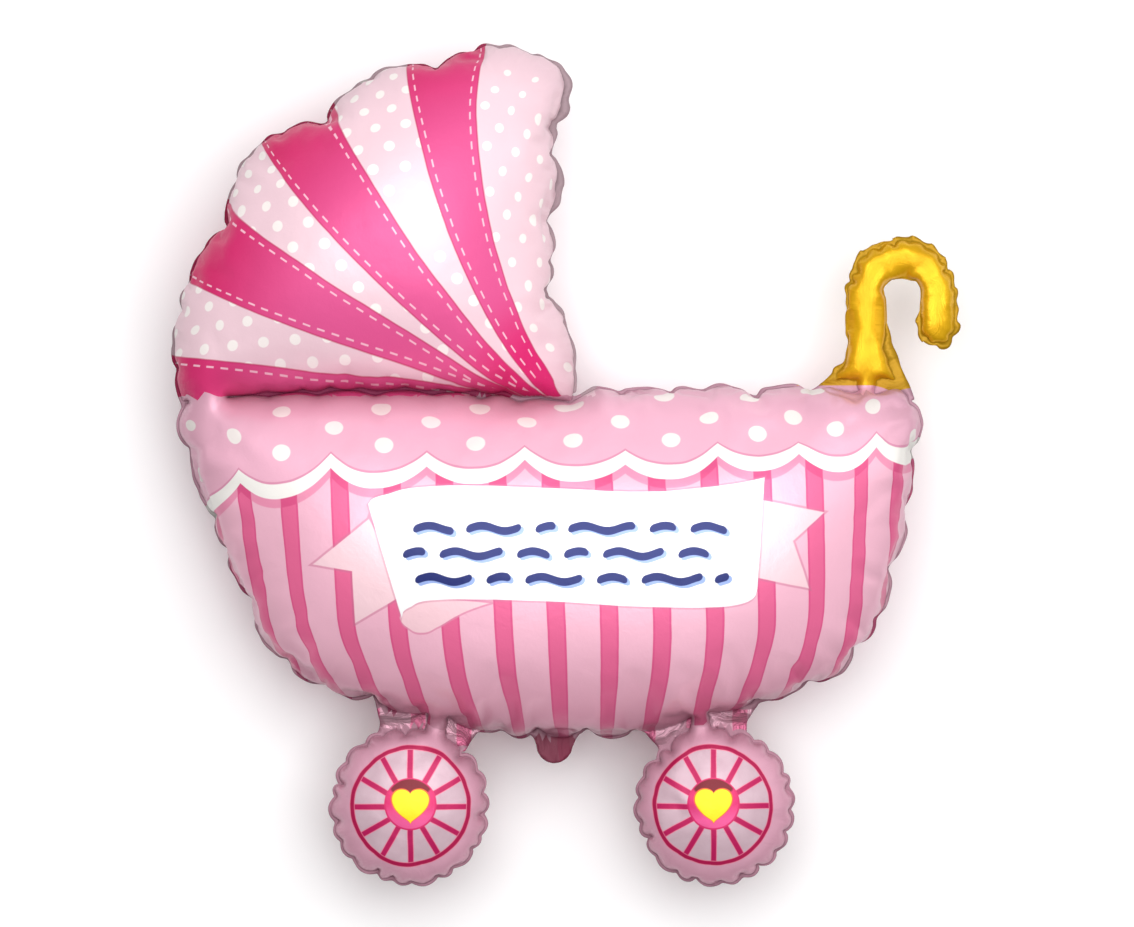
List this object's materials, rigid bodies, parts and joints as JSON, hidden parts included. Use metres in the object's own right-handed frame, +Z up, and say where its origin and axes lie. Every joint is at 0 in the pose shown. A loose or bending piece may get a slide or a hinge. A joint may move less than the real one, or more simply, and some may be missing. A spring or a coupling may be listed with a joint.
{
  "type": "baby carriage foil balloon",
  "caption": "Gas-filled foil balloon shaped as a baby carriage, with a lobed hood, a rounded hull, wheels, a hooked handle and a flat welded fin all round",
  "frame": {"origin": "middle of the base, where the balloon's back rests on the floor", "axes": "the balloon lies face up: +X to the handle, +Y to the top of the hood, +Z up out of its printed face"},
  "size_m": [0.7838, 0.8404, 0.2376],
  "materials": {
    "printed_foil": "satin metallic print"
  },
  "bodies": {
    "root": {"foil_envelope": "printed_foil"}
  },
  "joints": []
}
